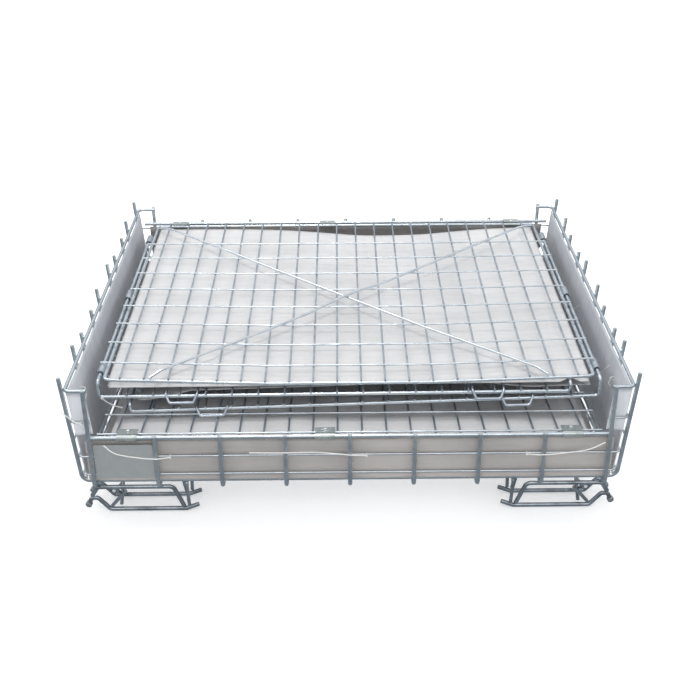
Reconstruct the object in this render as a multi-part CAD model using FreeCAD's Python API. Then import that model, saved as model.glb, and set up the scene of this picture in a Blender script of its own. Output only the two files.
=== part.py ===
import FreeCAD, Part
import math
import os

# Folding, stackable wire mesh container, folded flat for its return trip.
# Millimetres. X runs along the long side, +Y from the front (gate) side to the
# back, +Z up. The origin is under the middle of the footprint, at the bottom
# of the feet. Welded wires lie tangent to each other with a hair of air.

V = FreeCAD.Vector

# ---- driving dimensions ----
WIDTH = 1200.0           # over the end walls at their feet, along X
DEPTH = 1100.0           # over the front and back verticals, along Y
UNDERSIDE = 83.0         # clear height under the base
BASE_WIRE = 9.5
RAIL_WIRE = 9.0          # hinge rails
END_RAIL_WIRE = 8.5
BELT_WIRE = 4.5
FRAME_WIRE = 8.0
MESH_WIRE = 4.5
PANEL_WIRE = 5.0         # side-panel mesh
BRACE_WIRE = 6.5
FOOT_WIRE = 10.0
STRUT_WIRE = 8.0
LOOP_WIRE = 6.0
SHEET = 2.0              # plastic liner sheets
LABEL_METAL = 1.5
WELD = 0.05              # air between two welded wires

BELT_Z = (120.0, 166.5)  # the two wires that run all round the walls
FRONT_RAIL_Z = 212.5
FRONT_RUNG_Z = 254.0
BACK_RUNG_Z = 272.0
BACK_RAIL_Z = 286.0
END_RAIL_Z = 330.0
BACK_WIRE_Z = (220.0, 252.0)
TALL_SPIKE = 27.0        # above the end rail
SHORT_SPIKE = 13.0
END_BAYS = 7             # bays between end-wall verticals
FRONT_BAYS = 8           # bays between front and back verticals
CORNER_RETURN = 29.5     # outer to inner corner vertical at their feet
END_LEAN = 20.0          # the end walls lean out by this much at the end rail

MESH_COUNT = 20          # wires front to back in the back panel and the gate
MESH_PITCH = 54.0
CROSS_PITCH = 100.0
BACK_PANEL_LENGTH = 943.5
BACK_PANEL_RAIL_X = 549.5
BACK_PANEL_NEAR = 22.0   # from the hinge axis to the panel's own back rail
BRACE_BACK = (545.0, -47.0)
BRACE_FRONT = (447.0, -944.5)
BACK_PANEL_SAG = 13.0    # middle of the panel's free edge under its corners
SAG_FLAT = 183.0         # half of the stretch that hangs level
SLEEVE_OD = 16.0
SLEEVE_ID = 11.5
SLEEVE_LENGTH = 42.0
SLEEVE_FRONT_Y = (-378.0, 15.0, 388.0)

SIDE_PANEL_WIDTH = 1058.0
SIDE_PANEL_FRONT_Y = -418.0
SIDE_PANEL_REAR_Y = 443.0
LEFT_DROP = 38.0         # side-panel rails under their hinge rod
RIGHT_DROP = 45.0
LEFT_TILT = -0.3         # degrees: the upper side panel lies on the lower one
RIGHT_TILT = 1.68        # degrees: the lower side panel leans down to the gate
FREE_EDGE_RISE = 20.0
SIDE_PITCH = 59.0
LOOP_INSET = 185.0       # loop centres from each end of the side-panel rail
LOOP_SPAN = 70.0

GATE_LENGTH = 1005.0
GATE_HALF = 549.0
GATE_RISE = 1.0          # gate mesh over its hinge axis
GATE_SLANT = 5.67        # degrees: the folded gate leans down to the floor
GATE_CROSS_START = 17.5  # first cross wire from the hinge axis

CLIP_WIDTH = 44.0
CLIP_METAL = 2.0
CLIP_X = (-486.0, -54.0, 486.0)

# ---- places worked out from them ----
LEG_X = WIDTH / 2 - BASE_WIRE / 2
LEG_Y = DEPTH / 2 - BASE_WIRE / 2
INNER_X = LEG_X - CORNER_RETURN
BELT_Y = LEG_Y - BASE_WIRE / 2 - BELT_WIRE / 2 - WELD
RAIL_Y = LEG_Y - BASE_WIRE / 2 - RAIL_WIRE / 2 - WELD
END_RAIL_Y = LEG_Y - BASE_WIRE / 2 - END_RAIL_WIRE / 2 - WELD
DEEP_Z = UNDERSIDE + BASE_WIRE / 2
ACROSS_Z = DEEP_Z + BASE_WIRE + WELD
LEAN = math.atan(END_LEAN / (END_RAIL_Z - ACROSS_Z))
SLEEVE_X = BACK_PANEL_RAIL_X + FRAME_WIRE / 2 + SLEEVE_OD / 2 + WELD
CORNER_LEG_Y = 526.0
FLOOR_Z = ACROSS_Z + BASE_WIRE / 2 + WELD
MESH_X0 = -MESH_PITCH * (MESH_COUNT - 1) / 2
LINER_FACE = BELT_Y - BELT_WIRE / 2 - WELD
LINER_FACE_X = LEG_X - BASE_WIRE / 2 - BELT_WIRE - 2 * WELD
LINER_BOTTOM = 103.0
LINER_CORNER = 8.6
GATE_CROSS_Z = GATE_RISE
GATE_DEEP_Z = GATE_CROSS_Z - MESH_WIRE - WELD


def write(name, solids):
    shape = solids[0] if len(solids) == 1 else Part.makeCompound(solids)
    for solid in shape.Solids:
        if not solid.isValid() or solid.Volume <= 0:
            raise ValueError(name + " holds a bad solid")
    shape.exportStep("parts/" + name + ".step")
    print(name, len(shape.Solids), "solids, volume", round(shape.Volume))


def rod(start, end, diameter):
    a = V(*start)
    b = V(*end)
    return Part.makeCylinder(diameter / 2, (b - a).Length, a, b - a)


def bent_path(points, radius):
    """Straight runs joined by tangent arcs of one bend radius."""
    points = [V(*p) for p in points]
    edges = []
    at = points[0]
    for before, corner, after in zip(points, points[1:], points[2:]):
        come = (corner - before).normalize()
        go = (after - corner).normalize()
        turn = math.acos(max(-1.0, min(1.0, come.dot(go))))
        if turn < 1e-4:
            continue
        cut = radius * math.tan(turn / 2)
        enter = corner - come * cut
        leave = corner + go * cut
        inward = (go - come).normalize()
        middle = corner + inward * (radius / math.cos(turn / 2) - radius)
        if (enter - at).Length > 1e-4:
            edges.append(Part.LineSegment(at, enter).toShape())
        edges.append(Part.Arc(enter, middle, leave).toShape())
        at = leave
    edges.append(Part.LineSegment(at, points[-1]).toShape())
    return Part.Wire(edges)


def bent_wire(points, diameter, radius):
    path = bent_path(points, radius)
    first = V(*points[0])
    along = V(*points[1]) - first
    circle = Part.Wire([Part.makeCircle(diameter / 2, first, along)])
    solid = path.makePipeShell([circle], True, False)
    expected = math.pi * diameter ** 2 / 4 * path.Length
    if abs(solid.Volume / expected - 1) > 0.01:
        raise ValueError("a bent wire came out with the wrong volume")
    return solid


def box(low, high):
    return Part.makeBox(high[0] - low[0], high[1] - low[1], high[2] - low[2], V(*low))


def mirrored_x(shape):
    return shape.mirror(V(0, 0, 0), V(1, 0, 0))


def mirrored_y(shape):
    return shape.mirror(V(0, 0, 0), V(0, 1, 0))


def even(count, start, pitch):
    return [start + pitch * i for i in range(count)]


def folded_strip(points, thickness, x0, x1):
    """Sheet metal bent along points in the YZ plane, from x0 to x1."""
    pieces = []
    for (ya, za), (yb, zb) in zip(points, points[1:]):
        run = V(0, yb - ya, zb - za)
        side = V(0, -run.z, run.y).normalize() * (thickness / 2)
        a = V(x0, ya, za)
        b = V(x0, yb, zb)
        corners = [a - side, b - side, b + side, a + side, a - side]
        face = Part.Face(Part.makePolygon(corners))
        pieces.append(face.extrude(V(x1 - x0, 0, 0)))
    for y, z in points[1:-1]:
        pieces.append(Part.makeCylinder(thickness / 2, x1 - x0, V(x0, y, z), V(1, 0, 0)))
    return pieces[0].fuse(pieces[1:]).removeSplitter()


# ---- base: bent wires, rails and belts ----
def tall_spike_rows():
    pitch = 2 * CORNER_LEG_Y / END_BAYS
    rows = even(END_BAYS + 1, -CORNER_LEG_Y, pitch)
    return [y for i, y in enumerate(rows) if i not in (2, 5)]


def short_spike_rows():
    pitch = 2 * CORNER_LEG_Y / END_BAYS
    middle = CORNER_LEG_Y - 2 * pitch
    return [s * middle + d for s in (-1, 1) for d in (-60.0, 60.0)]


def leg_x(z):
    """Axis of a leaning end-wall vertical at height z."""
    return LEG_X + (z - ACROSS_Z) * math.tan(LEAN)


def inside_legs(z, diameter):
    """X of a wire that is welded inside the leaning verticals at height z."""
    return leg_x(z) - (BASE_WIRE / 2 + diameter / 2 + WELD) / math.cos(LEAN)


def across_wire(y, top):
    x = leg_x(top)
    points = [(-x, y, top), (-LEG_X, y, ACROSS_Z), (LEG_X, y, ACROSS_Z), (x, y, top)]
    return bent_wire(points, BASE_WIRE, 18.0)


def base_wires_across():
    wires = [across_wire(y, END_RAIL_Z + TALL_SPIKE) for y in tall_spike_rows()]
    wires += [across_wire(y, END_RAIL_Z + SHORT_SPIKE) for y in short_spike_rows()]
    return wires


def base_wires_deep():
    wires = []
    for i, x in enumerate(even(FRONT_BAYS + 1, -INNER_X, 2 * INNER_X / FRONT_BAYS)):
        corner = i in (0, FRONT_BAYS)
        front_top = END_RAIL_Z + 6.0 if corner else FRONT_RAIL_Z + 8.0
        back_top = END_RAIL_Z + 6.0 if corner else BACK_RAIL_Z + 8.0
        points = [(x, -LEG_Y, front_top), (x, -LEG_Y, DEEP_Z), (x, LEG_Y, DEEP_Z), (x, LEG_Y, back_top)]
        wires.append(bent_wire(points, BASE_WIRE, 15.0))
    return wires


def belt(z):
    """One wire bent round all four walls, butt welded in the back wall."""
    gap = 0.5
    x = inside_legs(z, BELT_WIRE)
    points = [
        (gap, BELT_Y, z),
        (x, BELT_Y, z),
        (x, -BELT_Y, z),
        (-x, -BELT_Y, z),
        (-x, BELT_Y, z),
        (-gap, BELT_Y, z),
    ]
    return bent_wire(points, BELT_WIRE, 11.0)


def end_rail():
    """The right one: along the end wall and a short return at each corner."""
    inner = INNER_X - 5.5
    x = inside_legs(END_RAIL_Z, END_RAIL_WIRE)
    points = [
        (inner, -END_RAIL_Y, END_RAIL_Z),
        (x, -END_RAIL_Y, END_RAIL_Z),
        (x, END_RAIL_Y, END_RAIL_Z),
        (inner, END_RAIL_Y, END_RAIL_Z),
    ]
    return bent_wire(points, END_RAIL_WIRE, 12.0)


def end_wires():
    """The right end wall's lighter wires: one with a rung at the front corner, a straight one, a back rung."""
    inner = INNER_X - 6.5
    front_x = inside_legs(FRONT_RUNG_Z, BELT_WIRE)
    front = [
        (inner, -BELT_Y, FRONT_RUNG_Z),
        (front_x, -BELT_Y, FRONT_RUNG_Z),
        (front_x, LEG_Y - 15.0, FRONT_RUNG_Z),
    ]
    back_x = inside_legs(BACK_RUNG_Z, BELT_WIRE)
    back = [
        (back_x, 365.0, BACK_RUNG_Z),
        (back_x, BELT_Y, BACK_RUNG_Z),
        (inner, BELT_Y, BACK_RUNG_Z),
    ]
    reach = LEG_Y - 6.0
    straight_x = inside_legs(FRONT_RAIL_Z, BELT_WIRE)
    straight = rod((straight_x, -reach, FRONT_RAIL_Z), (straight_x, reach, FRONT_RAIL_Z), BELT_WIRE)
    return [bent_wire(front, BELT_WIRE, 11.0), straight, bent_wire(back, BELT_WIRE, 11.0)]


def hinge_rail(y, z, reach):
    return rod((-reach, y, z), (reach, y, z), RAIL_WIRE)


def back_wires():
    reach = INNER_X + 12.0
    return [rod((-reach, BELT_Y, z), (reach, BELT_Y, z), BELT_WIRE) for z in BACK_WIRE_Z]


def floor_wires():
    """Light wires in the bays between the heavy cross wires."""
    heavy = sorted(tall_spike_rows() + short_spike_rows())
    z = DEEP_Z + BASE_WIRE / 2 + BELT_WIRE / 2 + WELD
    reach = INNER_X + 4.0
    wires = []
    for y0, y1 in zip(heavy, heavy[1:]):
        count = round((y1 - y0) / 48.0)
        for i in range(1, count):
            y = y0 + (y1 - y0) * i / count
            wires.append(rod((-reach, y, z), (reach, y, z), BELT_WIRE))
    return wires


# ---- base: plastic liners and label plate ----
def floor_sheet():
    return box((-576.0, -533.0, FLOOR_Z), (576.0, 533.0, FLOOR_Z + SHEET))


def front_sheet():
    return box((-578.0, -LINER_FACE, LINER_BOTTOM), (578.0, -LINER_FACE + SHEET, FRONT_RAIL_Z - 7.5))


def back_sheet():
    return box((-578.0, LINER_FACE - SHEET, LINER_BOTTOM), (578.0, LINER_FACE, BACK_RAIL_Z - 7.5))


def end_sheet():
    """The right one, leaning, with a return behind the front corner ladder above the front rail."""
    top = END_RAIL_Z - END_RAIL_WIRE / 2 - 5.0
    bottom = FRONT_RAIL_Z + 8.0
    corner_x = LINER_FACE_X - LINER_CORNER
    corner_y = -LINER_FACE + LINER_CORNER
    wall = box((LINER_FACE_X - SHEET, corner_y, 108.0), (LINER_FACE_X, -corner_y, top))
    strip = box((INNER_X - 20.0, -LINER_FACE, bottom), (corner_x, -LINER_FACE + SHEET, top))
    centre = V(corner_x, corner_y, bottom)
    outer = Part.makeCylinder(LINER_CORNER, top - bottom, centre)
    inner = Part.makeCylinder(LINER_CORNER - SHEET, top - bottom, centre)
    quarter = box((corner_x, corner_y - 20.0, bottom), (corner_x + 20.0, corner_y, top))
    bend = outer.cut(inner).common(quarter)
    sheet = wall.fuse([strip, bend]).removeSplitter()
    sheet.rotate(V(LEG_X, 0, ACROSS_Z), V(0, 1, 0), math.degrees(LEAN))
    return sheet


def label_plate():
    """Blank steel card holder in the first front bay, between the belts and the verticals."""
    bay = 2 * INNER_X / FRONT_BAYS
    clearance = BASE_WIRE / 2 + 1.5
    x0 = -INNER_X + clearance
    x1 = -INNER_X + bay - clearance
    y1 = -BELT_Y - BELT_WIRE / 2 - WELD
    y0 = y1 - LABEL_METAL
    plate = box((x0, y0, 111.5), (x1, y1, 198.0))
    corners = [e for e in plate.Edges if abs(e.Vertexes[0].Y - e.Vertexes[1].Y) > LABEL_METAL / 2]
    return plate.makeFillet(5.0, corners)


# ---- feet: front-left one, mirrored for the others ----
RUNNER_Y = (-507.0, -450.0)
FRAME_Y = (-526.0, -431.0)


def runner(y):
    """Ground wire with a raised inner tip and an arch that drops over a rail of the container below."""
    points = [
        (-345.0, y, 16.0),
        (-373.0, y, 5.0),
        (-546.0, y, 5.0),
        (-572.0, y, 36.0),
        (-586.0, y, 36.0),
        (-595.0, y, 17.0),
    ]
    return bent_wire(points, FOOT_WIRE, 9.0)


def foot_cap(y):
    """Closed cap pushed over the outer end of a runner."""
    along = V(-9.0, 0, -19.0).normalize()
    end = V(-595.0, y, 17.0)
    start = end - along * 8.0
    cap = Part.makeCylinder(7.4, 11.0, start, along)
    cap = cap.makeFillet(2.0, [e for e in cap.Edges if e.Curve.TypeId == "Part::GeomCircle"])
    bore = Part.makeCylinder(FOOT_WIRE / 2 + 0.05, 8.05, start - along * 0.01, along)
    return cap.cut(bore)


def foot_frame(frame_y, runner_y):
    """Wire under the base, standing on the arch outside and on the runner inside."""
    z = UNDERSIDE - FOOT_WIRE / 2 - WELD
    toward = 1.0 if runner_y > frame_y else -1.0
    points = [
        (-583.0, runner_y - toward * 3.0, 45.0),
        (-565.0, frame_y, z),
        (-396.0, frame_y, z),
        (-378.0, runner_y - toward * 1.0, 12.2),
    ]
    return bent_wire(points, FOOT_WIRE, 14.0)


def foot_yoke():
    """Inner end of the foot: a wire bridging both runners."""
    z = ACROSS_Z - BASE_WIRE / 2 - STRUT_WIRE / 2 - WELD
    front = RUNNER_Y[0]
    rear = RUNNER_Y[1]
    points = [
        (-366.0, front - 2.0, 14.6),
        (-366.0, front - 18.0, z),
        (-366.0, rear + 18.0, z),
        (-366.0, rear + 2.0, 14.6),
    ]
    return bent_wire(points, STRUT_WIRE, 14.0)


def foot_struts():
    """Outer end of the foot: one strut down to each runner and two crossing ones."""
    z = UNDERSIDE - FOOT_WIRE - STRUT_WIRE / 2 - 2.5
    front = RUNNER_Y[0]
    rear = RUNNER_Y[1]
    short = [
        rod((-503.0, FRAME_Y[0] + 1.0, z), (-541.0, front - 1.0, 15.0), STRUT_WIRE),
        rod((-503.0, FRAME_Y[1] - 1.0, z), (-541.0, rear + 1.0, 15.0), STRUT_WIRE),
    ]
    crossing = [
        rod((-530.0, FRAME_Y[0] + 2.0, z), (-530.0, rear - 4.5, 14.0), STRUT_WIRE),
        rod((-521.5, FRAME_Y[1] - 2.0, z), (-521.5, front + 4.5, 14.0), STRUT_WIRE),
    ]
    return short + crossing


def four_corners(solids):
    """Copies of a front-left solid at all four corners."""
    result = []
    for solid in solids:
        right = mirrored_x(solid)
        result += [solid, right, mirrored_y(solid), mirrored_y(right)]
    return result


# ---- sheet-metal hinge clips ----
def clips(axis_y, axis_z, inward, plate_points):
    """Clips that wrap a hinge rail and hold the first cross wire of a panel."""
    inner = RAIL_WIRE / 2 + 0.4
    outer = inner + CLIP_METAL
    result = []
    for x in CLIP_X:
        x0 = x - CLIP_WIDTH / 2
        ring = Part.makeCylinder(outer, CLIP_WIDTH, V(x0, axis_y, axis_z), V(1, 0, 0))
        hole = Part.makeCylinder(inner, CLIP_WIDTH, V(x0, axis_y, axis_z), V(1, 0, 0))
        points = [(axis_y + inward * y, axis_z + z) for y, z in plate_points]
        plate = folded_strip(points, CLIP_METAL, x0, x0 + CLIP_WIDTH)
        result.append(ring.fuse(plate).cut(hole).removeSplitter())
    return result


def clip_rivets(axis_y, axis_z, inward, at_y, at_z):
    """Round-headed rivet that closes each clip."""
    result = []
    for x in CLIP_X:
        foot = V(x, axis_y + inward * at_y, axis_z + at_z)
        head = Part.makeCylinder(5.0, 2.6, foot)
        head = head.makeFillet(1.8, [head.Edges[0]])
        result.append(head)
    return result


# ---- back panel, in its own frame: hinge axis at the origin, the panel runs to -Y ----
def back_panel_sag(x, y):
    """How far the mesh hangs under the flat panel: none at the hinge and the sides, most in front."""
    across = min(1.0, (BACK_PANEL_RAIL_X - abs(x)) / (BACK_PANEL_RAIL_X - SAG_FLAT))
    along = (-y - BACK_PANEL_NEAR) / (BACK_PANEL_LENGTH - BACK_PANEL_NEAR)
    return BACK_PANEL_SAG * across * along


def back_panel_frame():
    x = BACK_PANEL_RAIL_X
    far = -BACK_PANEL_LENGTH
    near = -BACK_PANEL_NEAR
    gap = 0.4
    points = [
        (gap, near, 0.0),
        (x, near, 0.0),
        (x, far, 0.0),
        (SAG_FLAT, far, -BACK_PANEL_SAG),
        (-SAG_FLAT, far, -BACK_PANEL_SAG),
        (-x, far, 0.0),
        (-x, near, 0.0),
        (-gap, near, 0.0),
    ]
    return bent_wire(points, FRAME_WIRE, 14.0)


def back_panel_deep_wires():
    z = FRAME_WIRE / 2 + MESH_WIRE / 2 + WELD
    near = -17.0
    far = -BACK_PANEL_LENGTH - 2.0
    wires = []
    for x in even(MESH_COUNT, MESH_X0, MESH_PITCH):
        start = (x, near, z - back_panel_sag(x, near))
        end = (x, far, z - back_panel_sag(x, far))
        wires.append(rod(start, end, MESH_WIRE))
    return wires


def back_panel_cross_wires():
    z = FRAME_WIRE / 2 + MESH_WIRE * 1.5 + 2 * WELD
    wires = []
    for i, y in enumerate(even(8, -181.5, -CROSS_PITCH)):
        left_end = BACK_PANEL_RAIL_X + 6.5 + 1.5 * i
        xs = (-left_end, -SAG_FLAT, SAG_FLAT, BACK_PANEL_RAIL_X + 10.5)
        points = [(x, y, z - back_panel_sag(x, y)) for x in xs]
        wires.append(bent_wire(points, MESH_WIRE, 14.0))
    return wires


def brace_y(x):
    share = (x + BRACE_BACK[0]) / (BRACE_BACK[0] + BRACE_FRONT[0])
    return BRACE_BACK[1] + share * (BRACE_FRONT[1] - BRACE_BACK[1])


def brace(rise):
    """From the left back corner to the right of the front rail, over the mesh; rise lifts its middle."""
    over_mesh = FRAME_WIRE / 2 + 2 * MESH_WIRE + BRACE_WIRE / 2 + 0.5
    on_frame = FRAME_WIRE / 2 + BRACE_WIRE / 2 + 0.6
    front_x = BRACE_FRONT[0]
    points = [(-BRACE_BACK[0], BRACE_BACK[1], on_frame)]
    for x in (-500.0, -340.0, -SAG_FLAT, -96.0, -24.0, 24.0, 96.0, SAG_FLAT, front_x - 25.0):
        lift = rise if abs(x) < 50.0 else 0.0
        y = brace_y(x)
        points.append((x, y, over_mesh + lift - back_panel_sag(x, y)))
    points.append((front_x, BRACE_FRONT[1], on_frame + 0.4 - back_panel_sag(*BRACE_FRONT)))
    return bent_wire(points, BRACE_WIRE, 14.0)


def back_panel_braces():
    """Two diagonals on top of the mesh, one passing over the other."""
    return [brace(0.0), mirrored_x(brace(BRACE_WIRE + WELD))]


def back_panel_sleeves():
    result = []
    for side in (-1, 1):
        for front in SLEEVE_FRONT_Y:
            start = V(side * SLEEVE_X, front - RAIL_Y, 0)
            tube = Part.makeCylinder(SLEEVE_OD / 2, SLEEVE_LENGTH, start, V(0, 1, 0))
            bore = Part.makeCylinder(SLEEVE_ID / 2, SLEEVE_LENGTH, start, V(0, 1, 0))
            result.append(tube.cut(bore))
    return result


def back_panel_sheet():
    """Hangs under the frame, lowest between the two middle folds."""
    z = -FRAME_WIRE / 2 - 1.3
    edge = BACK_PANEL_RAIL_X - 8.0
    shoulder = BACK_PANEL_RAIL_X - 69.5
    y = -BACK_PANEL_LENGTH + 3.0
    half = [(SAG_FLAT, z - BACK_PANEL_SAG), (shoulder, z), (edge, z)]
    upper = [(-x, h) for x, h in reversed(half)] + half
    lower = [(x, h - SHEET) for x, h in reversed(upper)]
    outline = [V(x, y, h) for x, h in upper + lower + upper[:1]]
    return Part.Face(Part.makePolygon(outline)).extrude(V(0, -30.0 - y, 0))


# ---- side panel, in its own frame: hinge rod along Y at the origin, the panel runs to +X ----
def side_frame(drop, front, rear):
    """One closed wire: hinge rod, rails with raised ends, and the free edge."""
    far = SIDE_PANEL_WIDTH
    edge = -drop + FREE_EDGE_RISE
    seam = (front + rear) / 2 - 120.0
    points = [
        (0, seam - 0.4, 0),
        (0, front, 0),
        (0, front, -drop),
        (far, front, -drop),
        (far, front, edge),
        (far, rear, edge),
        (far, rear, -drop),
        (0, rear, -drop),
        (0, rear, 0),
        (0, seam + 0.4, 0),
    ]
    return bent_wire(points, FRAME_WIRE, 9.0)


def side_short_wires(drop, front, rear):
    """Mesh wires from the front rail to the rear rail, lying on both."""
    z = -drop + FRAME_WIRE / 2 + PANEL_WIRE / 2 + WELD
    xs = even(17, 62.0, SIDE_PITCH)
    return [rod((x, front - 5.0, z), (x, rear + 5.0, z), PANEL_WIRE) for x in xs]


def side_long_wires(drop, front):
    """Mesh wires under the short ones, both ends turned up to the rod and the free edge."""
    z = -drop + FRAME_WIRE / 2 - PANEL_WIRE / 2
    far = SIDE_PANEL_WIDTH
    top = -FRAME_WIRE / 2 - WELD
    edge = -drop + FREE_EDGE_RISE - FRAME_WIRE / 2 - WELD
    result = []
    for y in even(8, front + 90.0, CROSS_PITCH):
        points = [(0, y, top), (0, y, z), (far, y, z), (far, y, edge)]
        result.append(bent_wire(points, PANEL_WIRE, 8.0))
    return result


def side_loops(drop, front):
    """Stacking loops that hook over the panel's top rail."""
    top = -drop + FRAME_WIRE / 2 + LOOP_WIRE / 2 + WELD
    result = []
    for centre in (LOOP_INSET, SIDE_PANEL_WIDTH - LOOP_INSET):
        a = centre - LOOP_SPAN / 2
        b = centre + LOOP_SPAN / 2
        out = front - FRAME_WIRE / 2 - LOOP_WIRE / 2 - 8.5
        points = [
            (a, front + 26.0, top),
            (a, front - 6.0, top),
            (a + 8.0, out, top - 16.0),
            (b - 8.0, out, top - 16.0),
            (b, front - 6.0, top),
            (b, front + 26.0, top),
        ]
        result.append(bent_wire(points, LOOP_WIRE, 7.0))
    return result


def side_sheet(drop, front, rear):
    z = -drop + FRAME_WIRE / 2 + PANEL_WIRE + 1.0
    return box((14.0, front + 30.0, z), (SIDE_PANEL_WIDTH - 14.0, rear - 8.0, z + SHEET))


# ---- front gate, in its own frame: hinge axis at the origin, the gate runs to +Y ----
def gate_side_wires():
    near = 9.0
    inner = GATE_HALF - 9.5
    z = GATE_DEEP_Z
    return [
        rod((side * x, near, z), (side * x, GATE_LENGTH, z), MESH_WIRE)
        for side in (-1, 1)
        for x in (GATE_HALF, inner)
    ]


def gate_deep_wires():
    z = GATE_DEEP_Z
    xs = even(MESH_COUNT, MESH_X0, MESH_PITCH)
    return [rod((x, 9.0, z), (x, GATE_LENGTH, z), MESH_WIRE) for x in xs]


def gate_cross_rows():
    return even(10, GATE_CROSS_START, CROSS_PITCH)


def gate_cross_wires():
    reach = GATE_HALF + 4.0
    return [rod((-reach, y, GATE_CROSS_Z), (reach, y, GATE_CROSS_Z), MESH_WIRE) for y in gate_cross_rows()]


def gate_top_rail():
    """The rail that is at the top of the gate when it stands."""
    y = GATE_LENGTH - 12.0
    z = GATE_DEEP_Z + MESH_WIRE / 2 + FRAME_WIRE / 2 + WELD
    return rod((-GATE_HALF - 2.0, y, z), (GATE_HALF + 2.0, y, z), FRAME_WIRE)


def gate_sheet():
    z = GATE_DEEP_Z - MESH_WIRE / 2 - 1.0
    return box((-530.0, 12.0, z - SHEET), (530.0, GATE_LENGTH - 4.0, z))


# ---- placing the moving panels in the folded pose ----
def place_back(solids):
    return [s.translated(V(0, RAIL_Y, BACK_RAIL_Z)) for s in solids]


def place_left(solids):
    placed = []
    for solid in solids:
        turned = solid.copy()
        turned.rotate(V(0, 0, 0), V(0, 1, 0), LEFT_TILT)
        placed.append(turned.translated(V(-SLEEVE_X, 0, BACK_RAIL_Z)))
    return placed


def place_right(solids):
    placed = []
    for solid in solids:
        turned = mirrored_x(solid)
        turned.rotate(V(0, 0, 0), V(0, 1, 0), -RIGHT_TILT)
        placed.append(turned.translated(V(SLEEVE_X, 0, BACK_RAIL_Z)))
    return placed


def place_gate(solids):
    placed = []
    for solid in solids:
        turned = solid.copy()
        turned.rotate(V(0, 0, 0), V(1, 0, 0), -GATE_SLANT)
        placed.append(turned.translated(V(0, -RAIL_Y, FRONT_RAIL_Z)))
    return placed


def write_base():
    right_rail = end_rail()
    right_wires = end_wires()
    right_sheet = end_sheet()
    write("base_wires_across", base_wires_across())
    write("base_wires_deep", base_wires_deep())
    write("base_floor_wires", floor_wires())
    write("base_belt_wires", [belt(z) for z in BELT_Z])
    write("end_rail_right", [right_rail])
    write("end_rail_left", [mirrored_x(right_rail)])
    write("end_wall_wires_right", right_wires)
    write("end_wall_wires_left", [mirrored_x(w) for w in right_wires])
    write("front_hinge_rail", [hinge_rail(-RAIL_Y, FRONT_RAIL_Z, INNER_X + 5.0)])
    write("back_hinge_rail", [hinge_rail(RAIL_Y, BACK_RAIL_Z, INNER_X + 27.0)])
    write("back_wall_wires", back_wires())
    write("floor_sheet", [floor_sheet()])
    write("front_wall_sheet", [front_sheet()])
    write("back_wall_sheet", [back_sheet()])
    write("end_wall_sheet_right", [right_sheet])
    write("end_wall_sheet_left", [mirrored_x(right_sheet)])
    write("label_plate", [label_plate()])


def write_feet():
    write("foot_runners", four_corners([runner(y) for y in RUNNER_Y]))
    write("foot_caps", four_corners([foot_cap(y) for y in RUNNER_Y]))
    frames = [foot_frame(f, r) for f, r in zip(FRAME_Y, RUNNER_Y)]
    write("foot_frames", four_corners(frames))
    write("foot_yokes", four_corners([foot_yoke()]))
    write("foot_struts", four_corners(foot_struts()))


def write_back_panel():
    plate = ((4.0, 4.6), (9.0, 7.8), (24.0, 7.8))
    write("back_panel_frame", place_back([back_panel_frame()]))
    write("back_panel_deep_wires", place_back(back_panel_deep_wires()))
    write("back_panel_cross_wires", place_back(back_panel_cross_wires()))
    write("back_panel_braces", place_back(back_panel_braces()))
    write("back_panel_sleeves", place_back(back_panel_sleeves()))
    write("back_panel_sheet", place_back([back_panel_sheet()]))
    write("back_hinge_clips", place_back(clips(0, 0, -1, plate)))
    write("back_clip_rivets", place_back(clip_rivets(0, 0, -1, 17.0, 8.85)))


def write_side_panel(side, drop, place, front, rear):
    write(side + "_panel_frame", place([side_frame(drop, front, rear)]))
    write(side + "_panel_short_wires", place(side_short_wires(drop, front, rear)))
    write(side + "_panel_long_wires", place(side_long_wires(drop, front)))
    write(side + "_panel_loops", place(side_loops(drop, front)))
    write(side + "_panel_sheet", place([side_sheet(drop, front, rear)]))


def write_gate():
    plate = ((0.5, 5.9), (8.0, 5.3), (32.0, 5.3))
    write("gate_side_wires", place_gate(gate_side_wires()))
    write("gate_deep_wires", place_gate(gate_deep_wires()))
    write("gate_cross_wires", place_gate(gate_cross_wires()))
    write("gate_top_rail", place_gate([gate_top_rail()]))
    write("gate_sheet", place_gate([gate_sheet()]))
    write("gate_hinge_clips", place_gate(clips(0, 0, 1, plate)))
    write("gate_clip_rivets", place_gate(clip_rivets(0, 0, 1, 25.0, 6.35)))


os.makedirs("parts", exist_ok=True)
write_base()
write_feet()
write_back_panel()
write_side_panel("left", LEFT_DROP, place_left, SIDE_PANEL_FRONT_Y, SIDE_PANEL_REAR_Y)
write_side_panel("right", RIGHT_DROP, place_right, SIDE_PANEL_FRONT_Y, SIDE_PANEL_REAR_Y)
write_gate()
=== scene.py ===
import math

import bmesh
import bpy
from mathutils import Matrix, Vector, noise


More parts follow.
